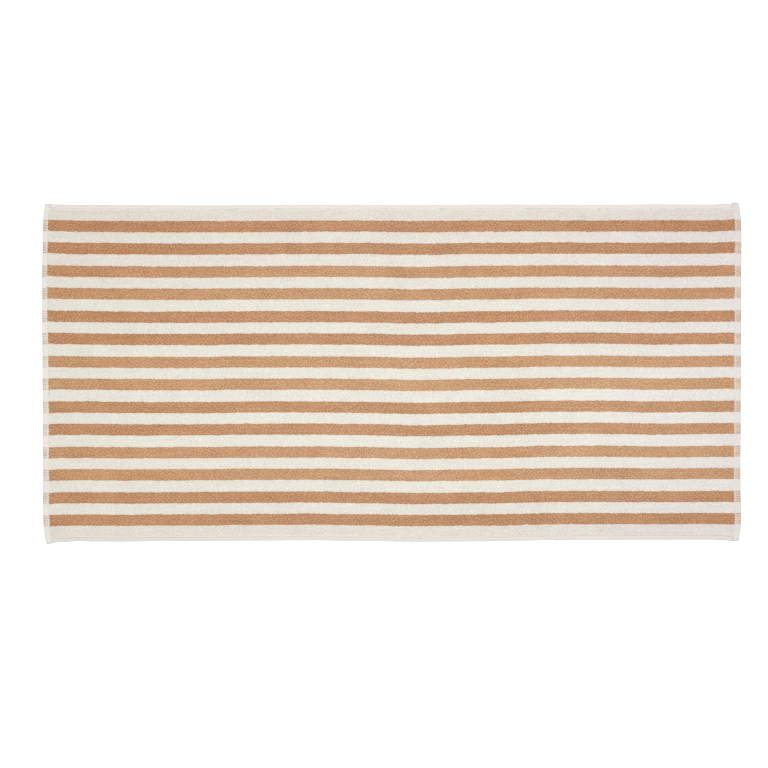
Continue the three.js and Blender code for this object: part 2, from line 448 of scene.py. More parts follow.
# %% One band of loops
FACE_HIGH, ROOT_HIGH = 4.6, 3.3
STAGGER = 0.25  # of the pitch, for every other line of roots
BAND_LAP, RIGHT_LAP = 0.6, 1.0  # over the next band, over the right end hem
JITTER_LONG, JITTER_WIDE, JITTER_HIGH = 0.5, 0.4, 0.2
CROWN_LEAN, CROWN_RISE, CLUMP_RISE = 0.45, 0.26, 0.06
RIM_DROP, ROOT_SETTLE, CROWN_SETTLE = 0.6, 0.4, 1.1


def loop_band(t_back, t_front, wander, light_column, seed):
    """Points, faces and values of a band: roots on a jittered grid between two wandering edges, and over
    the middle of each cell a crown that leans and rises by small random steps."""
    rng = np.random.default_rng(seed)
    columns = int(round((t_back - t_front) / LOOP_PITCH))
    i, j = np.meshgrid(np.arange(LOOP_ROWS + 1), np.arange(columns + 1), indexing="ij")
    share = j / columns
    flat_t = t_front + (t_back - t_front) * share
    s_from = -LENGTH / 2 + eased(HEM_WIDE, flat_t, 1)
    s_to = LENGTH / 2 - eased(HEM_WIDE, flat_t, 2) + RIGHT_LAP
    s = s_from + (s_to - s_from) * i / LOOP_ROWS + STAGGER * LOOP_PITCH * np.where(j % 2, 1, -1)
    t_low = t_front + edge_wander(s, wander[1]) - BAND_LAP
    t_high = t_back + edge_wander(s, wander[0]) + BAND_LAP
    t = t_low + (t_high - t_low) * share
    s = s + rng.uniform(-JITTER_LONG, JITTER_LONG, s.shape)
    t = t + rng.uniform(-JITTER_WIDE, JITTER_WIDE, s.shape)
    rim = (i == 0) | (i == LOOP_ROWS) | (j == 0) | (j == columns)
    root_z = ROOT_HIGH + swell(s, t) - ROOT_SETTLE * settle(t)
    root_z = root_z + rng.uniform(-JITTER_HIGH, JITTER_HIGH, s.shape) - RIM_DROP * rim

    mid_s, mid_t = cell_corners(s).mean(axis=-1), cell_corners(t).mean(axis=-1)
    crown_s = mid_s + rng.normal(0, CROWN_LEAN, mid_s.shape)
    crown_t = mid_t + rng.normal(0, CROWN_LEAN, mid_s.shape)
    crown_z = FACE_HIGH + swell(mid_s, mid_t) + CLUMP_RISE * clumps(mid_s, mid_t)
    crown_z = crown_z + rng.normal(0, CROWN_RISE, mid_s.shape) - CROWN_SETTLE * settle(mid_t)

    band = crowned_cells((s, t, root_z), (crown_s, crown_t, crown_z))
    band.update(loop_colours(rng, mid_s, mid_t, light_column))
    band["row"] = np.repeat(np.arange(LOOP_ROWS), columns)
    band["column"] = np.tile(np.arange(columns), LOOP_ROWS)
    band["columns"] = columns
    return band


def band_number(k):
    """The loops of the k-th band from the back; odd bands are tan. A colour edge's seed follows from its own
    number, so that the bands on both sides of it wander alike."""
    # the column of painted light along the towel that this band's loops read
    light_column = TAN_COLUMN if k % 2 else CREAM_COLUMN
    return loop_band(EDGES[k], EDGES[k + 1], (100 + 2 * k, 102 + 2 * k), light_column, 1000 + k)


print("a tan stripe is", round(TAN_WIDE / LOOP_PITCH), "loops wide")

# %% [markdown]
# Each loop carries a small flat coordinate, turned at random, on which its material draws the twist of the
# yarn. A second one lays the band out in short lengths, like a folded ribbon, so that a picture baked from
# it later is sharp.

# %% Coordinates on the loops
RIBBON_FOLDS = 8
FOLD_MARGIN, TIP_MARGIN = 0.04, 0.004
CELL = np.array([(-0.5, -0.5), (0.5, -0.5), (0.5, 0.5), (-0.5, 0.5)])


def twist_uv(band):
    """A coordinate over each loop: its cell's square around 0, turned by the loop's own angle."""
    cos, sin = np.cos(band["turn"]), np.sin(band["turn"])
    u = CELL[:, 0] * cos[:, None] - CELL[:, 1] * sin[:, None]
    v = CELL[:, 0] * sin[:, None] + CELL[:, 1] * cos[:, None]
    ring = np.stack([u, v], -1)
    return np.stack([ring, np.roll(ring, -1, axis=1), np.zeros_like(ring)], 2)


def ribbon_uv(band, shelf, shelves):
    """A coordinate that cuts the band into short lengths, stacked on one shelf of the unit square."""
    per_fold = -(-LOOP_ROWS // RIBBON_FOLDS)
    fold, along = np.divmod(band["row"], per_fold)
    square = (CELL + 0.5)[None]
    u = (along[:, None] + square[..., 0]) / per_fold
    v = (band["column"][:, None] + square[..., 1]) / band["columns"]
    v = (shelf + (fold[:, None] + FOLD_MARGIN + (1 - 2 * FOLD_MARGIN) * v) / RIBBON_FOLDS) / shelves
    ring = np.stack([TIP_MARGIN + (1 - 2 * TIP_MARGIN) * u, v], -1)
    crown = np.repeat(ring.mean(axis=1, keepdims=True), 4, axis=1)
    return np.stack([ring, np.roll(ring, -1, axis=1), crown], 2)


print("a band is laid out in", RIBBON_FOLDS, "short lengths")

# %% [markdown]
# The two stripes of a pair are one piece. So are the cream gap between them and the next cream band. That
# keeps the pieces few, and none of them too heavy.

# %% Bands joined into pieces
def loop_piece(name, bands):
    """One object from one or two bands: arrays laid end to end, face numbers moved on by the points before,
    and each loop's values repeated over its four faces."""
    starts = np.cumsum([0] + [len(band["points"]) for band in bands[:-1]])
    points = np.concatenate([band["points"] for band in bands])
    faces = np.concatenate([band["faces"] + start for band, start in zip(bands, starts)])
    is_root = np.concatenate([band["is_root"] for band in bands])
    piece = mesh_piece(name, points, faces, sharp=is_root)
    for key in ("tone", "deep", "blush"):
        store(piece, key, "FACE", np.repeat(np.concatenate([band[key] for band in bands]), 4))
    store(piece, "crown", "POINT", np.where(is_root, 0.0, 1.0))
    store_uv(piece, "OFBake", np.concatenate([ribbon_uv(b, k, len(bands)) for k, b in enumerate(bands)]))
    store_uv(piece, "twist", np.concatenate([twist_uv(band) for band in bands]))
    return piece


LAST_BAND = len(EDGES) - 2
tan_loops, cream_loops = [], []
for n in range(len(PAIRS)):
    tan_loops.append(loop_piece(f"tan_loops_{n + 1}", [band_number(4 * n + 1), band_number(4 * n + 3)]))
for n in range(len(PAIRS)):
    bands = [band_number(k) for k in (4 * n + 2, 4 * n + 4) if k < LAST_BAND]
    cream_loops.append(loop_piece(f"cream_loops_{n + 1}", bands))
outer_loops = [
    loop_piece("outer_loops_back", [band_number(0)]),
    loop_piece("outer_loops_front", [band_number(LAST_BAND)]),
]
loop_faces = sum(len(piece.data.polygons) for piece in tan_loops + cream_loops + outer_loops)
print(len(tan_loops), "tan and", len(cream_loops) + 2, "cream pieces,", loop_faces, "triangles of loops")

# %% [markdown]
# ## Hems
# At each end the cloth is woven flat, without loops, and turned over twice. The sides are turned in the
# same way but narrower. A swept curve could make a hem, but a profile carried along its edge by arrays can
# follow the lie. It is a flattened roll with a groove where the sewing draws it in.

# %% Profile of a hem
HEM_PROFILE = np.array([  # share of the hem's width from the fold, of its thickness, of the groove
    (1.32, 0.3, 0),
    (0.7, 0.02, 0),
    (0.1, 0, 0),
    (0.02, 0.16, 0),
    (0, 0.45, 0),
    (0.02, 0.72, 0),
    (0.06, 0.9, 0),
    (0.15, 0.98, 0),
    (0.32, 1, 0),
    (0.52, 1, 0),
    (0.72, 1, 0),
    (0.86, 1, 0),
    (0.93, 0.98, 0.3),
    (0.98, 0.97, 1),
    (1.02, 0.98, 0.3),
    (1.06, 1, 0),
    (1.22, 1, 0),
    (1.3, 0.82, 0),
])
SHARE, LEVEL, GROOVE = HEM_PROFILE.T
FACE_FROM, FACE_RUN = 0.6, 0.3
ON_FACE = np.clip((LEVEL - FACE_FROM) / FACE_RUN, 0, 1)  # 1 on the upper face of the hem, 0 on its underside


def hem_reach(wide, past):
    """Distances from the fold: shares of the width up to the seam, then shares of a run past it."""
    return wide * np.minimum(SHARE, 1) + past * np.maximum(SHARE - 1, 0)


def rings_joined(rings, around):
    """Numbers of the points ring by ring, numbers of the next points round, and split quads between."""
    index = np.arange(rings * around).reshape(rings, around)
    after = np.roll(index, -1, axis=1)
    quads = np.stack([index[:-1], after[:-1], after[1:], index[1:]], -1).reshape(-1, 4)
    return index, after, np.concatenate([quads[:, [0, 1, 2]], quads[:, [0, 2, 3]]])


def tube(points):
    """The profiles of all stations joined into a tube, with a fan to a middle point at each tip."""
    index, after, split = rings_joined(*points.shape[:2])
    first = np.stack([after[0], index[0], np.full_like(index[0], index.size)], -1)
    last = np.stack([index[-1], after[-1], np.full_like(index[0], index.size + 1)], -1)
    tips = np.stack([points[0].mean(axis=0), points[-1].mean(axis=0)])
    return np.concatenate([points.reshape(-1, 3), tips]), np.concatenate([split, first, last])


def hem_piece(name, x, y, high, values, turned):
    """A hem from its profile's places and heights at every station, with named values on its points. Turned
    runs the stations backwards, so that the faces point outwards."""
    flip = slice(None, None, -1) if turned else slice(None)
    ring = np.stack([x, y, np.clip(high, 0, None)], -1)
    piece = mesh_piece(name, *tube(ring[flip]))
    for key, value in values.items():
        store(piece, key, "POINT", np.concatenate([(value + 0 * x)[flip].ravel(), [0, 0]]))
    return piece


print("a hem's profile has", len(SHARE), "points")

# %% [markdown]
# The tan yarns run on through the flat weave of the end hems, where they show as thin ribbed lines. The
# turned cloth never lines up quite with the stripes behind it, so the lines are shifted and they slant.
# Each end hem is folded over the side hems last, so it is thicker at its tips.

# %% End hems
END_THICK = 3.2
END_STATIONS, END_PAST = 620, 7
RIB_PITCH, RIB_DEEP, END_GROOVE = 4.8, 0.22, 0.1
CORNER_LIFT, TIP_ROUND, TIP_LEAST = 0.25, 0.8, 0.1
PALE_FROM, PALE_RUN, PALE_BY = 0.76, 0.06, 0.65  # the tan pales beside the seam, as shares of the width
TAN_UNTIL, SHADE_FROM = 1.1, 1.15
RIB_MIDDLE, RIB_VARIES, RIB_PATCH, RIB_FADES, RIB_CENTRE = 0.8, 0.35, 6, 0.3, 0.4
HEM_UNEVEN, END_PATCH = 0.12, 9
END_WANDER, END_WANDER_LONG = 0.25, 14  # how far the fold strays, and over what length
HEM_LINES = np.array([  # station across, slant of the left and right ribs, shift of the left and right lines
    (-337, 0.0, -0.03, 0.2, -0.9),
    (-250, 0.0, 0.02, 0.0, -0.6),
    (-160, 0.0, 0.1, -0.6, -0.3),
    (-110, -0.05, 0.35, 0.2, -0.1),
    (-60, -0.06, 0.36, 0.4, 0.3),
    (30, -0.08, 0.37, 1.4, 0.5),
    (70, -0.02, 0.4, 1.5, 1.2),
    (120, 0.05, 0.44, 1.6, -0.6),
    (160, 0.1, 0.47, 2.4, -1.5),
    (200, 0.16, 0.49, 2.3, 1.2),
    (250, 0.2, 0.5, 1.2, 1.2),
    (337, 0.25, 0.5, 0.7, 1.3),
])
# Painted shade in the gap where an end hem's inner edge lies over a side hem, one value a corner.
CORNER_SHADE = np.array([0.3, 0.1, 0.3, 0.3])  # left front, left back, right front, right back


def from_stripe(t):
    """How far a point across lies from the middle line of the nearest tan stripe."""
    return np.abs(np.abs(t[..., None] - PAIRS * PAIR_PITCH) - (GAP_IN_PAIR + TAN_WIDE) / 2).min(axis=-1)


def tan_share(t):
    """1 on a tan stripe and 0 on cream, eased over a millimetre at each colour edge."""
    return np.clip(TAN_WIDE / 2 + 0.5 - from_stripe(t), 0, 1)


def over_side_hem(t):
    """1 where an end hem covers a side hem, falling to 0 over the two millimetres about its seam."""
    return np.clip((SIDE_HEM + 1 - (WIDTH / 2 - np.abs(t))) / 2, 0, 1)


def end_hem(name, side, seed):
    """The end hem: the profile carried across the towel, rounded off at its tips, with shallow ribs where
    the tan yarns run through. The ribs are a cosine across each stripe, slanting about the hem's middle."""
    t = np.linspace(-WIDTH / 2, WIDTH / 2, END_STATIONS)[:, None]
    column = 1 if side < 0 else 2
    wide = eased(HEM_WIDE, t, column)
    slant, shift = eased(HEM_LINES, t, column), eased(HEM_LINES, t, column + 2)
    from_fold = hem_reach(wide, END_PAST)
    line = t + shift + 0 * from_fold
    pale = 1 - PALE_BY * np.clip((SHARE - PALE_FROM) / PALE_RUN, 0, 1)
    tan = tan_share(line) * pale * (SHARE < TAN_UNTIL)
    rib_line = from_stripe(line - slant * (wide / 2 - from_fold))
    strength = RIB_MIDDLE + RIB_VARIES * soft_noise(t, 0, RIB_PATCH, seed + 2)
    strength = strength + RIB_FADES * (RIB_CENTRE - SHARE)
    rib = (0.5 + 0.5 * np.cos(2 * math.pi * rib_line / RIB_PITCH)) * np.clip(strength, 0, 1)

    at_corner = over_side_hem(t)
    tip_round = np.sqrt(np.clip((WIDTH / 2 - np.abs(t)) / TIP_ROUND, TIP_LEAST, 1))
    high = (LEVEL - END_GROOVE * GROOVE) * END_THICK * (1 + CORNER_LIFT * at_corner) * tip_round
    high = high + ON_FACE * (HEM_UNEVEN * soft_noise(t, from_fold, END_PATCH, seed) - RIB_DEEP * tan * rib)
    from_fold = from_fold + END_WANDER * soft_noise(t, 0, END_WANDER_LONG, seed + 1)
    s = side * (LENGTH / 2 - from_fold)
    # painted shade on the end hem's inner edge where it lies over a side hem
    shade = CORNER_SHADE[2 * (side > 0) + (t > 0)] * at_corner * (SHARE > SHADE_FROM)
    values = {"tan": tan, "rib": rib, "shade": shade, "deep": eased(LIGHT_ALONG, s, CREAM_COLUMN)}
    return hem_piece(name, *lie(s, t + 0 * s), high, values, turned=side < 0)


end_hems = [end_hem("end_hem_left", -1, 31), end_hem("end_hem_right", 1, 41)]
print("end hems", [len(piece.data.polygons) for piece in end_hems], "triangles")

# %% [markdown]
# The side hems are plain cream rolls that run under the end hems. In the front one the seam lies in a
# deeper groove. Both seams get painted shade, the front one more and darker towards both ends, so a table
# gives that painted shade along the towel.

# %% Side hems
SIDE_THICK = 2.8
SIDE_STATIONS, SIDE_PAST = 480, 16
SIDE_GROOVE = (0.16, 0.06)  # front, back
SIDE_START = 3.0  # from the fold of the end hem
SUNK_LEAD, SUNK_RUN, SUNK_BY = 1, 3, 0.35  # how it is pressed down under the end hem
SIDE_WANDER, SIDE_WANDER_LONG, SIDE_PATCH = 0.2, 16, 8
SEAM_DARK = 0.6
SIDE_SEAM = np.array([  # station along, then how wide the front and the back side hem are
    (-700, 7.3, 7.6),
    (-300, 7.2, 7.6),
    (0, 7.6, 7.7),
    (250, 8.5, 7.8),
    (700, 8.6, 7.9),
])
SEAM_SHADE = np.array([  # station along, then painted shade on the seam of the front and the back side hem
    (-690, 0.2, 0.0),
    (-665, 0.9, 0.2),
    (-480, 0.9, 0.05),
    (-300, 0.6, 0.15),
    (0, 0.5, 0.1),
    (250, 0.3, 0.0),
    (480, 0.5, 0.05),
    (600, 0.9, 0.05),
    (690, 1.0, 0.1),
])
# Painted shade over the front hem's roll, darkest at half its width.
FOLD_SHADE = np.interp(SHARE, [0.0, 0.2, 0.5, 0.8], [0.02, 0.05, 0.08, 0.0])  # on the front hem's roll


def side_hem(name, side, seed):
    """The side hem: the same profile, narrower, carried along the towel and pressed down under the two end
    hems. Painted shade lies in the seam's groove, and on the front hem a faint painted shade over the roll."""
    s = np.linspace(-LENGTH / 2 + SIDE_START, LENGTH / 2 - SIDE_START, SIDE_STATIONS)[:, None]
    column = 1 if side < 0 else 2
    from_fold = hem_reach(eased(SIDE_SEAM, s, column), SIDE_PAST)
    from_fold = from_fold + SIDE_WANDER * soft_noise(s, 0, SIDE_WANDER_LONG, seed)
    end_wide = np.where(s < 0, *eased(HEM_WIDE, side * WIDTH / 2, np.array([1, 2])))
    under = (end_wide - SUNK_LEAD - (LENGTH / 2 - np.abs(s))) / SUNK_RUN
    high = (LEVEL - SIDE_GROOVE[column - 1] * GROOVE) * SIDE_THICK * (1 - SUNK_BY * np.clip(under, 0, 1))
    high = high + HEM_UNEVEN * ON_FACE * soft_noise(s, from_fold, SIDE_PATCH, seed + 1)
    t = side * (WIDTH / 2 - from_fold)
    # painted shade in the seam's groove, and on the front hem over its roll
    shade = SEAM_DARK * eased(SEAM_SHADE, s, column) * GROOVE + (FOLD_SHADE if side < 0 else 0)
    values = {"shade": shade, "deep": eased(LIGHT_ALONG, s, CREAM_COLUMN)}
    return hem_piece(name, *lie(s + 0 * t, t), high, values, turned=side > 0)


side_hems = [side_hem("side_hem_front", -1, 51), side_hem("side_hem_back", 1, 61)]
print("side hems", [len(piece.data.polygons) for piece in side_hems], "triangles")

# %% [markdown]
# ## Sewing
# A row of lockstitches holds each hem down. Each stitch is a short spindle of thread that dips into the
# cloth at both ends, and its ends get painted shade. Along the sides the whole thread gets painted shade as
# well, as if it lay in the shade of its groove, so it reads as faint dashes that come and go. Bevelled
# curves could make the thread, but one spindle repeated by arrays along four lines makes all of it one
# light mesh.

# %% One stitch
END_STITCH = {"long": 4.7, "pitch": 5.1, "thick": 0.3, "high": 0.88 * END_THICK}
SIDE_STITCH = {"long": 4.2, "pitch": 5.5, "thick": 0.45, "high": 0.92 * SIDE_THICK}
SPINDLE = np.array([(-1.0, 0.25), (-0.55, 0.9), (0.0, 1.0), (0.55, 0.9), (1.0, 0.25)])  # place, thickness
SIDES = 6
THREAD_FLAT, STITCH_DIP = 0.8, 0.25


def stitch_line(path, heights, stitch):
    """Spindles between points of a path: round in section, flattened, and dipping as a parabola."""
    start, end = path[:-1], path[1:]
    middle = (start + end) / 2
    along = end - start
    along = along / np.linalg.norm(along, axis=1, keepdims=True)
    across = np.stack([-along[:, 1], along[:, 0]], -1)
    angle = np.arange(SIDES) * 2 * math.pi / SIDES
    reach = SPINDLE[:, 0] * stitch["long"] / 2
    thick = SPINDLE[:, 1][:, None] * stitch["thick"]
    wide = thick * np.cos(angle)
    tall = thick * THREAD_FLAT * np.sin(angle) - STITCH_DIP * (SPINDLE[:, 0] ** 2)[:, None]
    flat = middle[:, None, None] + along[:, None, None] * reach[:, None, None]
    flat = flat + across[:, None, None] * wide[..., None]
    z = heights[:, None, None] + tall
    return np.concatenate([flat, z[..., None]], -1)


def spindle_faces():
    """The spindle's rings joined, and a fan over each end."""
    index, _, split = rings_joined(len(SPINDLE), SIDES)
    fan = np.array([(0, k + 1, k) for k in range(1, SIDES - 1)])
    return np.concatenate([split, fan, index[-1, 0] + fan[:, [0, 2, 1]]])


one_stitch = spindle_faces()
print("a stitch has", len(one_stitch), "triangles")

# %% Stitches along the hems
SEAM_AT = 0.98  # where the seam lies, as a share of the hem's width
TIP_GAP, END_GAP = 2.5, 4.0  # from the tips, from the end hems
COMES_AND_GOES, DASH_LONG = 0.5, 45
SIDES_APART = 100  # keeps the random hills of the two sides apart


def sewing_rows():
    """Lines of stitches across each end hem and along each side hem, and how much painted shade each stitch
    gets: 0 across the ends, and along the sides the seam's painted shade times slow random hills."""
    rows, dark = [], []
    for side, column in ((-1, 1), (1, 2)):
        t = np.arange(-WIDTH / 2 + TIP_GAP, WIDTH / 2 - TIP_GAP, END_STITCH["pitch"])
        x, y = lie(side * (LENGTH / 2 - SEAM_AT * eased(HEM_WIDE, t, column)), t)
        heights = END_STITCH["high"] * (1 + CORNER_LIFT * over_side_hem(t))
        rows.append(stitch_line(np.stack([x, y], -1), heights[:-1], END_STITCH))
        dark.append(np.zeros(len(t) - 1))
    for side, column in ((-1, 1), (1, 2)):
        s_from, s_to = -LENGTH / 2 + LEFT_HEM + END_GAP, LENGTH / 2 - RIGHT_HEM - END_GAP
        s = np.arange(s_from, s_to, SIDE_STITCH["pitch"])
        x, y = lie(s, side * (WIDTH / 2 - SEAM_AT * eased(SIDE_SEAM, s, column)))
        heights = np.full(len(s) - 1, SIDE_STITCH["high"])
        rows.append(stitch_line(np.stack([x, y], -1), heights, SIDE_STITCH))
        hills = 1 + COMES_AND_GOES * soft_noise(s[:-1], SIDES_APART * side, DASH_LONG, 85)
        dark.append(np.clip(eased(SEAM_SHADE, s[:-1], column) * hills, 0, 1))
    return np.concatenate(rows), np.concatenate(dark)


stitch_points, stitch_painted_shade = sewing_rows()
stitch_count, per_stitch = len(stitch_points), len(SPINDLE) * SIDES
stitch_faces = (one_stitch[None] + per_stitch * np.arange(stitch_count)[:, None, None]).reshape(-1, 3)
sewing = mesh_piece("sewing", stitch_points.reshape(-1, 3), stitch_faces)
# painted shade at both ends of each stitch, where it dips into the cloth
painted_end_shade = np.repeat(np.abs(SPINDLE[:, 0]) ** 4, SIDES)
store(sewing, "shade", "POINT", np.maximum(painted_end_shade, stitch_painted_shade[:, None]))
print(stitch_count, "stitches,", len(stitch_faces), "triangles")

# %% [markdown]
# ## Underside
# Terry has loops on its back too. They are pressed against the surface that the towel lies on, so they are
# shorter and flatter, and they need fewer faces. The same stripes run through, because each dyed yarn
# makes loops on both faces.

# %% Loops of the underside
UNDER_PITCH, UNDER_CLUMP = 4.3, 9
UNDER_ROOT, UNDER_CROWN = 1.1, 0.12  # heights above the floor
UNDER_JITTER, UNDER_UNEVEN, UNDER_LEAN, UNDER_RISE = 0.9, 0.15, 0.5, 0.1


def underside(name, s_from, s_to, seed):
    """Loops that hang from the ground: roots on a jittered grid with a straight rim, and under each cell a
    crown that leans by a random step and stays above the floor."""
    rng = np.random.default_rng(seed)
    side = WIDTH / 2 - SIDE_HEM
    rows, columns = int((s_to - s_from) / UNDER_PITCH), int(2 * side / UNDER_PITCH)
    along, across = np.linspace(s_from, s_to, rows + 1), np.linspace(-side, side, columns + 1)
    s, t = np.meshgrid(along, across, indexing="ij")
    inner = np.zeros(s.shape)
    inner[1:-1, 1:-1] = 1
    s = s + inner * rng.uniform(-UNDER_JITTER, UNDER_JITTER, s.shape)
    t = t + inner * rng.uniform(-UNDER_JITTER, UNDER_JITTER, s.shape)
    mid_s, mid_t = cell_corners(s).mean(axis=-1), cell_corners(t).mean(axis=-1)
    clump = soft_noise(mid_s, mid_t, UNDER_CLUMP, seed + 1)
    crown_s = mid_s + rng.normal(0, UNDER_LEAN, mid_s.shape)
    crown_t = mid_t + rng.normal(0, UNDER_LEAN, mid_s.shape)
    crown_z = UNDER_CROWN + UNDER_CROWN * clump + rng.normal(0, UNDER_RISE, mid_s.shape)
    root_z = UNDER_ROOT + rng.uniform(-UNDER_UNEVEN, UNDER_UNEVEN, s.shape)
    crowns_at = (crown_s, crown_t, np.clip(crown_z, 0, None))
    cells = crowned_cells((s, t, root_z), crowns_at, upwards=False)
    piece = mesh_piece(name, cells["points"], cells["faces"], sharp=cells["is_root"])
    tone = (clump.ravel() + rng.uniform(-1, 1, mid_s.size)) / 2
    store(piece, "tone", "FACE", np.repeat(tone, 4))
    store(piece, "crown", "POINT", np.where(cells["is_root"], 0.0, 1.0))
    store(piece, "tan", "FACE", np.repeat(tan_share(mid_t).ravel(), 4))
    return piece


underside_loops = [
    underside("underside_loops_left", -LENGTH / 2 + LEFT_HEM, 0, 81),
    underside("underside_loops_right", 0, LENGTH / 2 - RIGHT_HEM, 91),
]
print("underside", [len(piece.data.polygons) for piece in underside_loops], "triangles")

# %% [markdown]
# ## Cotton
# Cotton yarn is matt, and its loops have a faint sheen of stray fibres at grazing angles. Every finish is
# one Principled shader. A helper adds a node and links or sets its inputs in one go, and two shorter ones
# read a stored value and mix two colours.

# %% Node helpers
def node(tree, kind, inputs=(), **settings):
    """Add a node: settings are its options, and each input is linked to a socket or given a value."""
    made = tree.nodes.new(kind)
    for key, value in settings.items():
        setattr(made, key, value)
    for key, value in dict(inputs).items():
        if isinstance(value, bpy.types.NodeSocket):
            tree.links.new(value, made.inputs[key])
        else:
            made.inputs[key].default_value = value
    return made


def stored(tree, name):
    """The value that was stored on the mesh under a name."""
    return node(tree, "ShaderNodeAttribute", attribute_name=name).outputs["Fac"]


def mix(tree, share, first, second, **settings):
    """The first colour mixed with the second by a share, or multiplied by it as far as the share says."""
    sockets = {"Factor": share, "A": first, "B": second}
    return node(tree, "ShaderNodeMix", sockets, data_type="RGBA", **settings).outputs["Result"]


def cotton(name, sheen):
    """A material with a matt Principled shader, its sheen and gloss set on the shader itself."""
    material = bpy.data.materials.new(name)
    material.use_nodes = True
    shader = material.node_tree.nodes["Principled BSDF"]
    shader.inputs["Roughness"].default_value = 0.92
    shader.inputs["Specular IOR Level"].default_value = 0.15
    shader.inputs["Sheen Weight"].default_value = sheen
    shader.inputs["Sheen Roughness"].default_value = 0.55
    return material, material.node_tree, shader


def tint(colour):
    """A colour given as eight-bit screen values, as the linear numbers that a node takes."""
    share = np.asarray(colour) / 255
    linear = np.where(share <= 0.04045, share / 12.92, ((share + 0.055) / 1.055) ** 2.4)
    return (*linear.tolist(), 1.0)


def light_tinted(tree, colour, light_tint):
    """The colour multiplied by a tint as far as the stored depth says, and further where that passes 1. The
    depth holds painted light and shade along the towel.
    """
    return mix(tree, stored(tree, "deep"), colour, light_tint, blend_type="MULTIPLY", clamp_factor=False)


print("a middle grey of 128 is", round(tint((128, 128, 128))[0], 3), "as a linear number")

# %% [markdown]
# ## Finish of the loops
# A loop's colour depends on its own tone, on fine fibre noise, on painted light along the towel, and on
# painted shade that darkens it towards its roots deep in the pile. It leans a little towards straw or rose,
# because cotton takes dye unevenly. The twist of the yarn is a set of slanting bands, drawn on the loop's
# own coordinate and used as bump.

# %% Loop finish
FIBRE_SHARE = 0.8
TONE_RANGE = (-1.2, 2.0)  # tones with their fibre, from the darkest shade to the palest
LOOP_SHEEN = 0.3


def shaded_yarn(tree, shades):
    """A colour picked between a dark, a middle and a pale shade by the loop's tone and fibre noise."""
    place = node(tree, "ShaderNodeTexCoord").outputs["Object"]
    fibre = node(tree, "ShaderNodeTexNoise", {"Vector": place, "Scale": 900.0, "Detail": 3.0})
    weighed = {0: fibre.outputs["Fac"], 1: FIBRE_SHARE, 2: stored(tree, "tone")}
    tone = node(tree, "ShaderNodeMath", weighed, operation="MULTIPLY_ADD").outputs[0]
    ranged = {"Value": tone, "From Min": TONE_RANGE[0], "From Max": TONE_RANGE[1]}
    ramp = node(tree, "ShaderNodeValToRGB", {"Fac": node(tree, "ShaderNodeMapRange", ranged).outputs[0]})
    ramp.color_ramp.elements.new(0.5)
    for element, shade in zip(ramp.color_ramp.elements, shades):
        element.color = tint(shade)
    return ramp.outputs["Color"]


def loops_finish(name, shades, root, light_tint=None, lean=None, striped=None):
    """Yarn for loops: the tone picks between three shades, the tint of painted light and the lean tint them
    or a stripe covers them, the roots are multiplied by a darker colour as painted shade, and slanting waves
    bump the twist."""
    material, tree, shader = cotton(name, LOOP_SHEEN)
    colour = shaded_yarn(tree, shades)
    if light_tint is not None:
        colour = light_tinted(tree, colour, light_tint)
    if lean is not None:
        straw_to_rose = mix(tree, stored(tree, "blush"), *lean)
        colour = mix(tree, 1.0, colour, straw_to_rose, blend_type="MULTIPLY")
    if striped is not None:
        colour = mix(tree, stored(tree, "tan"), colour, tint(striped))
    # painted shade: the roots are multiplied by a darker colour, the crowns keep theirs
    painted_root_shade = mix(tree, 1.0, colour, tint(root), blend_type="MULTIPLY")
    skin = mix(tree, stored(tree, "crown"), painted_root_shade, colour)
    tree.links.new(skin, shader.inputs["Base Color"])
    loop = node(tree, "ShaderNodeUVMap", uv_map="twist").outputs["UV"]
    slanting = {"Vector": loop, "Scale": 1.4, "Distortion": 2.0, "Detail": 1.0, "Detail Scale": 3.0}
    twist = node(tree, "ShaderNodeTexWave", slanting, bands_direction="DIAGONAL").outputs["Fac"]
    bump = node(tree, "ShaderNodeBump", {"Height": twist, "Strength": 0.6, "Distance": 0.0003})
    tree.links.new(bump.outputs["Normal"], shader.inputs["Normal"])
    return material


# %% Yarns of the loops
# Tints that the stored depth applies, as painted light and shade along the towel: the tan deeper and the
# cream warmer where the depth is 1.
TAN_LIGHT_TINT = (1.0, 0.94, 0.865, 1.0)
CREAM_LIGHT_TINT = (1.0, 1.0, 0.955, 1.0)
TAN_LEAN = (1.0, 1.125, 1.07, 1.0), (1.0, 0.875, 0.93, 1.0)  # straw, rose
CREAM_LEAN = (1.0, 1.07, 1.027, 1.0), (1.0, 0.93, 0.973, 1.0)
# Root colours, here and in the finishes below, darken each loop towards its roots: painted shade deep in the
# pile.
CREAM_ROOT_SHADE = (230, 226, 219)
STRONG_SHADES = (138, 87.5, 51.5), (200.3, 158.5, 121.4), (236, 202.5, 169)
SOFT_SHADES = (147.5, 99.5, 62.5), (203.8, 166.4, 129.6), (239, 208.5, 176)
CREAM_SHADES = (197, 193.3, 189), (222, 220.2, 218.6), (235, 233.2, 232.8)
OUTER_SHADES = (194.6, 188.5, 185.3), (219.6, 216.2, 213.7), (233, 229.6, 227.8)
UNDER_SHADES = (203, 199, 191), (222, 220, 213), (240, 238, 232)
TAN_STRONG = loops_finish("tan_yarn_strong", STRONG_SHADES, (200, 185, 170), TAN_LIGHT_TINT, TAN_LEAN)
TAN_SOFT = loops_finish("tan_yarn_soft", SOFT_SHADES, (205, 190, 175), TAN_LIGHT_TINT, TAN_LEAN)
CREAM = loops_finish("cream_yarn", CREAM_SHADES, CREAM_ROOT_SHADE, CREAM_LIGHT_TINT, CREAM_LEAN)
OUTER_CREAM = loops_finish("outer_cream_yarn", OUTER_SHADES, CREAM_ROOT_SHADE, CREAM_LIGHT_TINT, CREAM_LEAN)
UNDERSIDE = loops_finish("underside_yarn", UNDER_SHADES, CREAM_ROOT_SHADE, striped=(200, 158, 122))

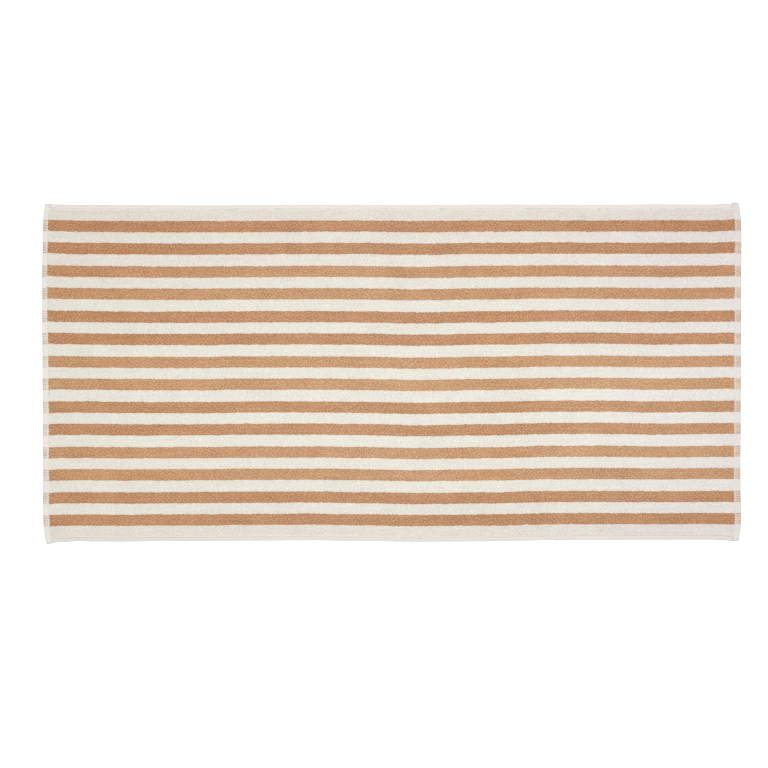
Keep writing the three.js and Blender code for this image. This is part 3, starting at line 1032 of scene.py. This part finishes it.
for n, piece in enumerate(tan_loops):
    piece.data.materials.append(TAN_STRONG if n % 2 == 0 else TAN_SOFT)
for pieces, yarn in ((cream_loops, CREAM), (outer_loops, OUTER_CREAM), (underside_loops, UNDERSIDE)):
    for piece in pieces:
        piece.data.materials.append(yarn)
print("yarns", [yarn.name for yarn in (TAN_STRONG, TAN_SOFT, CREAM, OUTER_CREAM, UNDERSIDE)])

# %% [markdown]
# ## Finish of the hems, ground and thread
# The flat-woven hem is cream with thin tan lines where the dyed yarns pass through it. A fine basket of
# crossing yarns is bumped over it. A stored value mixes in painted shade at the seams, the stitch ends, the
# front hem's roll and the corners where the end hems lie over the side hems. The ground and the thread are
# plain cream cotton of the same kind.

# %% Woven finish
SPECK_DARKER, SPECK_PALER = 7, 6
# the colour of painted shade in seams, stitch ends, the front hem's roll and the hems' corners
PAINTED_SHADE_COLOUR = (148, 134, 114)


def specked(tree, place, plain):
    """The plain colour, a little darker and paler by turns, as fine noise says."""
    speck = node(tree, "ShaderNodeTexNoise", {"Vector": place, "Scale": 420.0, "Detail": 3.0})
    ramp = node(tree, "ShaderNodeValToRGB", {"Fac": speck.outputs["Fac"]})
    dark, pale = ramp.color_ramp.elements
    dark.position, pale.position = 0.3, 0.7
    dark.color = tint(np.array(plain) - SPECK_DARKER)
    pale.color = tint(np.array(plain) + SPECK_PALER)
    return ramp.outputs["Color"]


def woven_finish(name, plain, lines=None, light_tint=CREAM_LIGHT_TINT):
    """Flat weave: specked cotton with ribbed tan lines of two colours, tinted by painted light along the
    towel, darkened by painted shade where the stored value says, and bumped by the product of two crossing
    waves."""
    material, tree, shader = cotton(name, 0.0)
    place = node(tree, "ShaderNodeTexCoord").outputs["Object"]
    colour = specked(tree, place, plain)
    if lines is not None:
        between, line = lines
        ribbed = mix(tree, stored(tree, "rib"), tint(between), tint(line))
        colour = mix(tree, stored(tree, "tan"), colour, ribbed)
    colour = light_tinted(tree, colour, light_tint)
    # painted shade, as far as the stored value says
    colour = mix(tree, stored(tree, "shade"), colour, tint(PAINTED_SHADE_COLOUR))
    tree.links.new(colour, shader.inputs["Base Color"])
    yarns = {"Vector": place, "Scale": 190.0, "Distortion": 0.6}
    warp = node(tree, "ShaderNodeTexWave", yarns).outputs["Fac"]
    weft = node(tree, "ShaderNodeTexWave", yarns, bands_direction="Y").outputs["Fac"]
    basket = node(tree, "ShaderNodeMath", {0: warp, 1: weft}, operation="MULTIPLY").outputs[0]
    bump = node(tree, "ShaderNodeBump", {"Height": basket, "Strength": 0.5, "Distance": 0.0002})
    tree.links.new(bump.outputs["Normal"], shader.inputs["Normal"])
    return material


# %% Weaves of the hems, ground and thread
# The four hems are one cloth: the right end hem and the front side hem get darker weaves as painted shade,
# since less light falls on them, and the front hem's tint adds painted light towards its left end.
FRONT_LIGHT_TINT = (1.035, 1.035, 0.99, 1.0)
HEM_LEFT = woven_finish("left_hem_weave", (201.5, 198.8, 196.2), ((205, 196, 185), (155, 137, 122)))
HEM_RIGHT = woven_finish("right_hem_weave", (196, 192, 188), ((197, 185, 172), (150, 129, 117)))
HEM_BACK = woven_finish("back_hem_weave", (201.2, 198, 195.7))
HEM_FRONT = woven_finish("front_hem_weave", (195, 191.7, 190), light_tint=FRONT_LIGHT_TINT)
GROUND = woven_finish("ground_weave", (205, 202, 194))
THREAD = woven_finish("sewing_thread", (206, 204, 198))
weaves = (HEM_LEFT, HEM_RIGHT, HEM_FRONT, HEM_BACK, GROUND, THREAD)
for piece, weave in zip(end_hems + side_hems + [ground_cloth, sewing], weaves):
    piece.data.materials.append(weave)
print("weaves", [weave.name for weave in weaves])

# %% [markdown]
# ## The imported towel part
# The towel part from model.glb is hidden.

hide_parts("towel")

# %% [markdown]
# ## Floor
# The towel lies on a plain white surface. One large square is enough, and it is no part of the towel.

# %% White floor
REACH = 12.0
FLOOR_WHITE = (0.92, 0.92, 0.92, 1)
floor_mesh = bpy.data.meshes.new("floor")
floor_corners = [(-REACH, -REACH, 0), (REACH, -REACH, 0), (REACH, REACH, 0), (-REACH, REACH, 0)]
floor_mesh.from_pydata(floor_corners, [], [(0, 1, 2, 3)])
floor = bpy.data.objects.new("floor", floor_mesh)
bpy.context.collection.objects.link(floor)
floor_paint = bpy.data.materials.new("floor_white")
floor_paint.use_nodes = True
floor_shader = floor_paint.node_tree.nodes["Principled BSDF"]
floor_shader.inputs["Base Color"].default_value = FLOOR_WHITE
floor_shader.inputs["Roughness"].default_value = 0.9
floor_mesh.materials.append(floor_paint)
print("floor", 2 * REACH, "m wide")

# %% [markdown]
# ## Light
# Even light keeps the two colours true from end to end. One lamp would leave a bright middle and dark ends.
# A bright room fills the gaps between the loops, and two long soft boxes, above the back and the front
# half, give each loop a soft lit side.

# %% Room and soft boxes
ROOM_BRIGHT = 0.56
BOX_ALONG, BOX_HIGH, BOX_SIZE = 0.06, 1.4, (3.0, 0.5)
world = bpy.data.worlds.new("bright_room")
world.use_nodes = True
world.node_tree.nodes["Background"].inputs["Color"].default_value = (1, 1, 1, 1)
world.node_tree.nodes["Background"].inputs["Strength"].default_value = ROOM_BRIGHT
bpy.context.scene.world = world


def soft_box(name, across, power):
    """A long rectangular area light above the towel, turned to face the middle line below it."""
    lamp = bpy.data.lights.new(name, "AREA")
    lamp.shape = "RECTANGLE"
    lamp.size, lamp.size_y = BOX_SIZE
    lamp.energy = power
    box = bpy.data.objects.new(name, lamp)
    bpy.context.collection.objects.link(box)
    box.location = (BOX_ALONG, across, BOX_HIGH)
    box.rotation_euler = (math.atan2(-across, BOX_HIGH), 0, 0)
    box.visible_camera = False
    return box


boxes = [soft_box("back_soft_box", 0.26, 15.85), soft_box("front_soft_box", -0.3, 16.5)]
print("soft boxes at", [np.round(box.location, 2).tolist() for box in boxes])

# %% [markdown]
# ## Camera
# The towel is seen from straight above. A long lens keeps the sides of the cloth parallel. Its height
# follows from how many pixels of the square frame the towel's length takes up, and its place from the
# pixel in which the towel's middle lies.

# %% Camera above the towel
FRAME_PIXELS = 768
LENGTH_PIXELS = 698.56
MIDDLE_PIXEL = (392.05, 373.03)
PILE_TOP = 4.0
LENS, SENSOR = 100.0, 36.0
PIXEL = LENGTH / LENGTH_PIXELS
FRAME_WIDE = FRAME_PIXELS * PIXEL * MM
eye = bpy.data.cameras.new("camera")
eye.lens = LENS
eye.sensor_width = SENSOR
camera = bpy.data.objects.new("camera", eye)
camera.location = (
    ((FRAME_PIXELS / 2 - MIDDLE_PIXEL[0]) * PIXEL + MIDDLE_SHIFT[0]) * MM,
    ((MIDDLE_PIXEL[1] - FRAME_PIXELS / 2) * PIXEL + MIDDLE_SHIFT[1]) * MM,
    FRAME_WIDE * LENS / SENSOR + PILE_TOP * MM,
)
bpy.context.collection.objects.link(camera)
bpy.context.scene.camera = camera
bpy.context.scene.view_settings.view_transform = "Standard"
print("camera", [round(v, 3) for v in camera.location])
